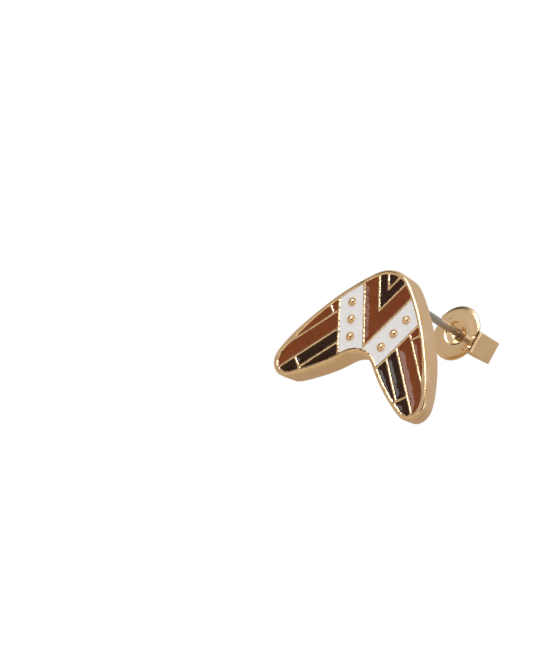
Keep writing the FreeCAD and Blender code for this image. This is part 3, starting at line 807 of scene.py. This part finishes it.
def settle(heights, triangles, fixed):
    # Evens out a sheet as surface tension does, its fixed points held.
    count, share = len(heights), enamelPour["settleShare"]
    pairs = np.vstack([triangles[:, [0, 1]], triangles[:, [1, 2]], triangles[:, [2, 0]]])
    a, b = np.unique(np.sort(pairs, axis=1), axis=0).T
    degree = np.maximum(np.bincount(a, minlength=count) + np.bincount(b, minlength=count), 1)
    for _ in range(enamelPour["settle"]):
        total = np.bincount(a, heights[b], count) + np.bincount(b, heights[a], count)
        heights = np.where(fixed, heights, (1 - share) * heights + share * total / degree)
    return heights


def makeEnamel(node):
    tone = slotOf[node].split("_")[0]
    pour = enamelPour[tone]
    dip = pour["dip"]
    if "outer_chevron" in node:
        dip *= enamelPour["outerDip"]
    elif "inner_chevron" in node or "triangle" in node:
        dip *= enamelPour["innerDip"]
    loops = [cells[node]] + pipHoles(node)
    flat, triangles, edge = fillRegion(loops, enamelPour["grid"], enamelPour["edgeRows"])
    seed = enamelPour["firstSeed"] + enamelNodes.index(node) * enamelPour["seedStep"]
    sunk = pour["edge"] + dip * (1 - np.exp(-edge / pour["reach"]))
    sunk += waves(flat, (pour["wave"], enamelPour["waveSize"], seed)) * smoothstep(*enamelPour["waveEdge"], edge)
    sunk = settle(sunk, triangles, edge < onEdge)
    shell = Shell()
    top = shell.sheet(flat, triangles, rimTop + sunk, True)
    ground, groundFaces, _ = fillRegion(loops, casting["floorGrid"])
    bottom = shell.sheet(ground, groundFaces, floorLevel - enamelPour["underFloor"], False)
    for index, loop in enumerate(loops):
        shell.wall(shell.ringOf(top, loop), shell.ringOf(bottom, loop), index == 0)
    name = "pour_" + node.replace("enamel_", "")
    piece = shell.build(name, 50)
    piece.data.materials.append(enamelMaterials[tone])
    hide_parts(node)
    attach(piece, "stud")


makeCasting()
for node in enamelNodes:
    makeEnamel(node)
print("enamel poured in", len(enamelNodes), "cells")

# Ear post, solder and butterfly nut.

post = {
    "around": 96, "ringStep": 0.04, "firstRing": 0.2,
    "notchHalf": 0.32, "notchEase": 1.6,
    "tipRings": 12, "tipShape": 0.75,
    "wobble": 0.004, "wobbleAcross": 2, "wobbleAlong": 0.4,
    "finish": {
        "plating": {
            "Bright": (0.47, 0.45, 0.41, 1), "Deep": (0.24, 0.22, 0.19, 1), "Blotch Scale": 2600.0, "Blotch": 0.7,
            "Smooth": 0.24, "Rough": 0.44, "Pits": 0.1, "Grain Scale": 14000.0},
        "bump": (0.4, 0.000008), "stretch": (1.0, 0.07, 1.0)},
}
bead = {
    "around": 96, "rows": 18,
    "lump": 0.03, "lumpAcross": 1.7, "lumpAlong": 4, "lumpFrom": 0.05, "shrink": 0.01,
    "swell": 0.9, "climb": 0.85, "cover": 0.97,    # shape of the fillet
    "gap": 0.002, "lift": 0.004,
    "finish": {
        "plating": {
            "Bright": (0.78, 0.70, 0.56, 1), "Deep": (0.46, 0.36, 0.25, 1), "Blotch Scale": 1700.0, "Blotch": 0.8,
            "Smooth": 0.22, "Rough": 0.5, "Pits": 0.8, "Grain Scale": 5200.0},
        "bump": (0.7, 0.00002)},
}


def roundNoise(angle, y, across, along):
    return np.array([noise.noise(Vector((math.cos(a) * across, y * along, math.sin(a) * across))) for a in angle])


def turned(name, profile, around, wobble):
    # A closed solid turned about the post's axis from (radius, y) points; the end ones are on the axis.
    shell = Shell()
    shell.add([(0, profile[0][1], 0)])
    rings = []
    angle = np.linspace(0, 2 * math.pi, around, endpoint=False)
    for radius, y in profile[1:-1]:
        reach = radius * (1 + wobble(angle, y))
        rings.append(shell.ring([(r * math.cos(a), y, r * math.sin(a)) for r, a in zip(reach, angle)]))
    last = shell.add([(0, profile[-1][1], 0)])
    for i in range(around):
        j = (i + 1) % around
        shell.faces.append((0, rings[0][i], rings[0][j]))
        shell.faces.append((last, rings[-1][j], rings[-1][i]))
    for nearer, farther in zip(rings, rings[1:]):
        shell.wall(nearer, farther, True)
    return shell.build(name, 60)


def makePost():
    low, high = [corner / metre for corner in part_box("ear_post")]
    radius, start, end = high.x, low.y, high.y
    points = nodePoints("ear_post")
    reach = np.hypot(points[:, 0], points[:, 2])
    tipStart = points[(reach > radius - 1e-3) & (points[:, 1] < end - 0.02), 1].max()
    waist = points[reach < radius - 0.02]
    waist = waist[(waist[:, 1] > start + 1) & (waist[:, 1] < tipStart - 0.2)]
    notch, depth = waist[:, 1].mean(), radius - np.hypot(waist[:, 0], waist[:, 2]).min()
    profile = [(0, start), (radius, start)]
    for y in np.arange(start + post["firstRing"], tipStart, post["ringStep"]):
        inNotch = max(0.0, 1 - ((y - notch) / post["notchHalf"])**2)
        profile.append((radius - depth * min(1.0, inNotch * post["notchEase"]), y))
    for a in np.linspace(0, math.pi / 2, post["tipRings"])[1:]:
        across = max(radius * math.cos(a)**post["tipShape"], 1e-3)
        profile.append((across, tipStart + (end - tipStart) * math.sin(a)))
    profile.append((0, end))

    def wobble(angle, y):
        return post["wobble"] * roundNoise(angle, y, post["wobbleAcross"], post["wobbleAlong"])

    piece = turned("earPost", profile, post["around"], wobble)
    piece.data.materials.append(makeMetal("drawnSteel", post["finish"]))
    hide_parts("ear_post")
    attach(piece, "stud")


def makeSolder():
    low, high = [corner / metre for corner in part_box("post_solder")]
    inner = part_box("ear_post")[1].x / metre
    outer, start, end = high.x, low.y, high.y
    profile = [(0, start), (outer - bead["gap"], start), (outer - bead["gap"], 0.0)]
    for swing in np.linspace(0, 1, bead["rows"]) * math.pi / 2:
        across = outer - (outer - inner) * math.sin(swing)**bead["swell"] * bead["cover"]
        profile.append((across, end * (1 - math.cos(swing))**bead["climb"] + bead["lift"]))
    profile.append((inner * 0.9, end))
    profile.append((0, end))

    def wobble(angle, y):
        lump = bead["lump"] * smoothstep(0, bead["lumpFrom"], y)
        return lump * roundNoise(angle, y, bead["lumpAcross"], bead["lumpAlong"]) - bead["shrink"]

    piece = turned("solderBead", profile, bead["around"], wobble)
    piece.data.materials.append(makeMetal("silverSolder", bead["finish"]))
    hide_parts("post_solder")
    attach(piece, "stud")


nut = {
    "sheet": 0.25,
    "holeRadius": 0.40, "holeLip": 0.05,
    "funnelRadius": 1.25, "funnelDepth": 0.40,
    "armHalfWidth": 1.07,
    "armReach": 2.80,    # outer face of each arm from the post's axis
    "bendRadius": 0.42,    # of the sheet's middle
    "crownRadius": 0.32,      # second bend, at the top of an arm
    "lean": 0.13,    # the arms spread a little
    "padWide": 2.36, "padHigh": 2.61,   # the pad's half sizes
    "curlRadius": 0.80,
    "curlTurn": 160.0,
    "roll": 6.0,    # the arms' lean about the post
    "edgeRound": 0.07,
    "lipStart": 2.15, "lipBack": 0.06,
    "padBow": 0.05, "bowEdge": (1.05, 2.3), "bowStart": 0.9,   # stands a little proud of funnel and lip
    "armEnd": 0.93, "armCorner": 0.08, "armBlend": 0.35, "armMargin": 0.02,
    "padPoints": 22, "holePoints": 60,
    "rimStep": 0.055, "rimCorner": 0.04, "rimAngles": (-60, -35, -12, 12, 35, 60),
    "grid": 0.085, "edgeRows": (0.05,),
    "unevenness": (0.006, 1.1, 21.0),
    "dentDepth": 0.05,
    # each dent's distance and angle from the post, half length, half width and lean
    "dents": ((2.02, 12, 0.10, 0.05, 60), (2.05, 345, 0.13, 0.05, 20), (2.03, 325, 0.13, 0.045, 10),
              (1.98, 168, 0.12, 0.06, 50), (1.78, 142, 0.16, 0.05, 75), (2.05, 262, 0.07, 0.07, 0),
              (2.02, 215, 0.07, 0.05, 0), (2.08, 290, 0.06, 0.05, 0)),
    "finish": {
        "plating": {
            "Bright": (0.94, 0.67, 0.40, 1), "Deep": (0.78, 0.52, 0.27, 1), "Blotch Scale": 420.0, "Blotch": 0.4,
            "Smooth": 0.09, "Rough": 0.22, "Pits": 0.7, "Grain Scale": 9000.0},
        "bump": (0.3, 0.000008)},
}


def armLine():
    # Each arm's line worked out from the nut's height: its root, crown and whole length.
    low, high = [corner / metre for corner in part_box("ear_nut")]
    sheet, lean, curl = nut["sheet"], nut["lean"], nut["curlRadius"]
    bend, crown = nut["bendRadius"], nut["crownRadius"]
    crownLevel = high.y - low.y - sheet / 2
    tall = crownLevel - sheet / 2 - nut["padBow"]
    side = nut["armReach"] - sheet / 2 - lean * (tall - crown)
    curlSide = nut["holeRadius"] + sheet / 2 + curl - lean * (tall - curl)
    root, across = side - bend, side - crown - curlSide
    length = (root + (bend + crown) * math.pi / 2 + tall - crown - bend + across
              + curl * math.radians(nut["curlTurn"]))
    return {"front": low.y, "root": root, "crownLevel": crownLevel, "across": across, "length": length}


arm = armLine()


def nutPattern():
    # The blank before bending: a pad with an arm to each side.
    half, end = nut["armHalfWidth"], arm["length"]
    wide, high = nut["padWide"], nut["padHigh"]
    swing = np.linspace(math.asin(half / high), math.pi / 2, nut["padPoints"])
    quarter = [(end, 0.0), (end, half * nut["armEnd"]), (end - nut["armCorner"], half)]
    quarter += [(wide * math.cos(a), high * math.sin(a)) for a in swing]
    quarter = np.array(quarter)
    upperLeft = quarter[::-1][1:] * (-1, 1)
    upper = np.vstack([quarter, upperLeft])
    lower = upper[::-1][1:-1] * (1, -1)
    return np.vstack([upper, lower])


def nutSurface(flat):
    # Where each point of the blank's middle layer goes, with y from the pad's face and before the roll.
    u, v = flat[:, 0], flat[:, 1]
    sheet, bend, crown = nut["sheet"], nut["bendRadius"], nut["crownRadius"]
    r = np.hypot(u, v)
    slope = 1 - smoothstep(nut["holeRadius"] + nut["holeLip"], nut["funnelRadius"], r)
    bow = nut["padBow"] * smoothstep(*nut["bowEdge"], r)
    lip = nut["lipBack"] * smoothstep(nut["lipStart"], nut["padHigh"], r)
    padY = sheet / 2 + nut["funnelDepth"] * slope + (bow + lip) * (r > nut["bowStart"])
    onArm = abs(v) < nut["armHalfWidth"] + nut["armMargin"]
    # the arm's line: bend, rise, second bend, crown, then the curl
    s = np.abs(u) - arm["root"]
    level = sheet / 2 + nut["padBow"]
    rise = arm["crownLevel"] - crown - level - bend
    risen = bend * math.pi / 2 + rise
    turnedOver = risen + crown * math.pi / 2
    a = np.clip(s / bend, 0, math.pi / 2)
    b = np.clip((s - risen) / crown, 0, math.pi / 2)
    c = np.clip((s - turnedOver - arm["across"]) / nut["curlRadius"], 0, None)
    armX = arm["root"] + bend * np.sin(a) - crown * (1 - np.cos(b))
    armX -= np.clip(s - turnedOver, 0, arm["across"]) + nut["curlRadius"] * np.sin(c)
    armY = level + bend * (1 - np.cos(a)) + np.clip(s - bend * math.pi / 2, 0, rise)
    armY += crown * np.sin(b) - nut["curlRadius"] * (1 - np.cos(c))
    armX += nut["lean"] * np.maximum(0, armY - level)
    blend = smoothstep(-nut["armBlend"], 0.0, s) * onArm
    y = np.where((s > 0) & onArm, armY, np.where(s > 0, padY, padY * (1 - blend) + level * blend))
    x = np.where((s > 0) & onArm, armX, np.abs(u))
    return np.stack([np.copysign(x, u), y, v], axis=1)


def nutLayer(flat, lift):
    # The surface at this height off the middle layer, along its normal.
    step = 1e-3
    place = nutSurface(flat)
    du = nutSurface(flat + (step, 0)) - nutSurface(flat - (step, 0))
    dv = nutSurface(flat + (0, step)) - nutSurface(flat - (0, step))
    normal = np.cross(dv, du)
    normal /= np.linalg.norm(normal, axis=1)[:, None]
    return place + normal * np.asarray(lift)[:, None]


def dented(flat):
    # How far the pad's face is pressed in at each point.
    depth = np.zeros(len(flat))
    for away, angle, long, wide, lean in nut["dents"]:
        centre = away * np.array([math.cos(math.radians(angle)), math.sin(math.radians(angle))])
        axis = np.array([math.cos(math.radians(lean)), math.sin(math.radians(lean))])
        along = (flat - centre) @ axis / long
        across = (flat - centre) @ np.array([-axis[1], axis[0]]) / wide
        depth += nut["dentDepth"] * np.exp(-along**2 - across**2)
    return depth


def makeNut():
    sheet, edge = nut["sheet"], nut["edgeRound"]
    rim = smoothOutline(nutPattern(), nut["rimStep"], nut["rimCorner"])
    rimIn = rim - outward(rim) * edge
    holeIn = circle((0, 0), nut["holeRadius"] + edge, nut["holePoints"])
    flat, triangles, _ = fillRegion([rimIn, holeIn], nut["grid"], nut["edgeRows"])
    shell = Shell()

    def place(points, lift):
        return nutLayer(points, lift) + (0, arm["front"], 0)

    uneven = waves(flat, nut["unevenness"])
    front = shell.cover(flat, triangles, place(flat, -sheet / 2 + dented(flat) + uneven), True, 1.0)
    back = shell.cover(flat, triangles, place(flat, sheet / 2 + uneven), False, 1.0)
    for inner, sense in ((rimIn, 1), (holeIn, -1)):
        ring = shell.ringOf(front, inner)
        normals = outward(inner) * sense
        for phi in np.radians(nut["rimAngles"]):
            points = inner + normals * edge * math.cos(phi)
            following = shell.ring(place(points, np.full(len(points), sheet / 2 * math.sin(phi))), 1.0)
            shell.wall(ring, following, sense == 1)
            ring = following
        shell.wall(ring, shell.ringOf(back, inner), sense == 1)
    roll = math.radians(nut["roll"])
    shell.points = [(x * math.cos(roll) + z * math.sin(roll), y, z * math.cos(roll) - x * math.sin(roll))
                    for x, y, z in shell.points]
    piece = shell.build("butterflyNut", 50)
    piece.data.materials.append(makeMetal("goldSheet", nut["finish"]))
    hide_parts("ear_nut")
    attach(piece, "nut")
    print("nut made:", len(piece.data.polygons), "faces")


makePost()
makeSolder()
makeNut()

# Camera, floor and light.

studioCamera = {
    "place": (191.65, -256.59, -39.6),
    "aim": (-6.44, -7.27, -7.98),
    "right": (0.7400, 0.5365, 0.4057),      # the camera's own right, tilted as it was held
    "lens": 197.4,
    "sensor": 36.0,
}


def makeCamera():
    place, aim = Vector(studioCamera["place"]), Vector(studioCamera["aim"])
    ahead = (aim - place).normalized()
    right = Vector(studioCamera["right"])
    right = (right - ahead * right.dot(ahead)).normalized()
    data = bpy.data.cameras.new("studioCamera")
    camera = newObject("studioCamera", data)
    turn = Matrix((right, right.cross(ahead), -ahead)).transposed()
    camera.matrix_world = Matrix.Translation(place * metre) @ turn.to_4x4()
    data.sensor_width = studioCamera["sensor"]
    data.lens = studioCamera["lens"]
    data.clip_start, data.clip_end = 0.01, 20.0
    bpy.context.scene.camera = camera


studio = {
    "floorLevel": -60.0, "floorRadius": 400.0, "floorAround": 96, "floorRough": 0.7,
    "floorTone": (0.66, 0.60, 0.51, 1), "floorWorn": (0.72, 0.675, 0.61, 1), "floorWear": 0.25,
    "below": (0.39, 0.30, 0.20, 1), "level": (0.56, 0.53, 0.49, 1), "above": (0.66, 0.65, 0.63, 1),
    # dark gaps of the tent: direction, chord reach, tone; the first is at the lens and has a bright edge
    "gaps": (((0.22, -0.97, 0.08), 0.36, 0.02), ((-0.72, -0.55, 0.43), 0.22, 0.02)),
    "glowReach": 0.60, "glowTone": (1.0, 0.97, 0.91, 1), "glowFrom": 1.3, "gapEdge": (0.8, 1.15),
}


def makeFloor():
    mesh = bpy.data.meshes.new("floor")
    ring = circle((0, 0), studio["floorRadius"] * metre, studio["floorAround"])
    mesh.from_pydata([(x, y, studio["floorLevel"] * metre) for x, y in ring], [], [list(range(len(ring)))])
    floor = newObject("floor", mesh)
    material, tree, shader, place = newMaterial("paleFloor")
    wear = spread(tree, noiseNode(tree, place, 6.0, 3.0), 0.3, 0.7, 0.0, studio["floorWear"])
    tone = mixColour(tree, wear, studio["floorTone"], studio["floorWorn"])
    feed(tree, shader.inputs, {"Base Color": tone, "Roughness": studio["floorRough"]})
    mesh.materials.append(material)


def makeWorld():
    world = bpy.data.worlds.new("lightTent")
    bpy.context.scene.world = world
    world.use_nodes = True
    tree = world.node_tree
    tree.nodes.clear()
    toward = tree.nodes.new("ShaderNodeTexCoord").outputs["Generated"]
    height = addNode(tree, "ShaderNodeSeparateXYZ", {}, {"Vector": toward}).outputs["Z"]
    ramp = addNode(tree, "ShaderNodeValToRGB", {}, {"Fac": spread(tree, height, -1.0, 1.0)})
    stops = ramp.color_ramp.elements
    stops.new(1.0)
    for stop, (place, key) in zip(stops, ((0.30, "below"), (0.50, "level"), (0.85, "above"))):
        stop.position = place
        stop.color = studio[key]
    tone = ramp.outputs["Color"]
    for index, (direction, reach, dark) in enumerate(studio["gaps"]):
        apart = addNode(tree, "ShaderNodeVectorMath", {"operation": "DISTANCE"}, {
            0: toward, 1: Vector(direction).normalized()}).outputs["Value"]
        if index == 0:
            glow = spread(tree, apart, reach * studio["glowFrom"], studio["glowReach"], 1.0, 0.0)
            tone = mixColour(tree, glow, tone, studio["glowTone"])
        gap = spread(tree, apart, *(reach * share for share in studio["gapEdge"]), 1.0, 0.0)
        tone = mixColour(tree, gap, tone, (dark,) * 3 + (1,))
    tent = addNode(tree, "ShaderNodeBackground", {}, {"Color": tone, "Strength": 1.0}).outputs[0]
    sweep = addNode(tree, "ShaderNodeBackground", {}, {"Color": (1, 1, 1, 1), "Strength": 1.0}).outputs[0]
    seen = tree.nodes.new("ShaderNodeLightPath").outputs["Is Camera Ray"]
    mix = addNode(tree, "ShaderNodeMixShader", {}, {0: seen, 1: tent, 2: sweep}).outputs[0]
    addNode(tree, "ShaderNodeOutputWorld", {}, {"Surface": mix})


lamps = {
    "topPanel": {"from": (-95, -368, 205), "size": (180, 180), "watts": 0.72},
    "rightPanel": {"from": (400, -190, 90), "size": (70, 200), "watts": 0.12},
}
lampAim = (0, 0, -4)


def makeLamps():
    for name, lamp in lamps.items():
        data = bpy.data.lights.new(name, "AREA")
        data.shape = "RECTANGLE"
        data.size, data.size_y = lamp["size"][0] * metre, lamp["size"][1] * metre
        data.energy = lamp["watts"]
        light = newObject(name, data)
        place = Vector(lamp["from"]) * metre
        aim = Vector(lampAim) * metre
        turn = (aim - place).to_track_quat("-Z", "Y").to_matrix().to_4x4()
        light.matrix_world = Matrix.Translation(place) @ turn


makeCamera()
makeFloor()
makeWorld()
makeLamps()
bpy.context.scene.view_settings.view_transform = "Standard"
print("studio lit")
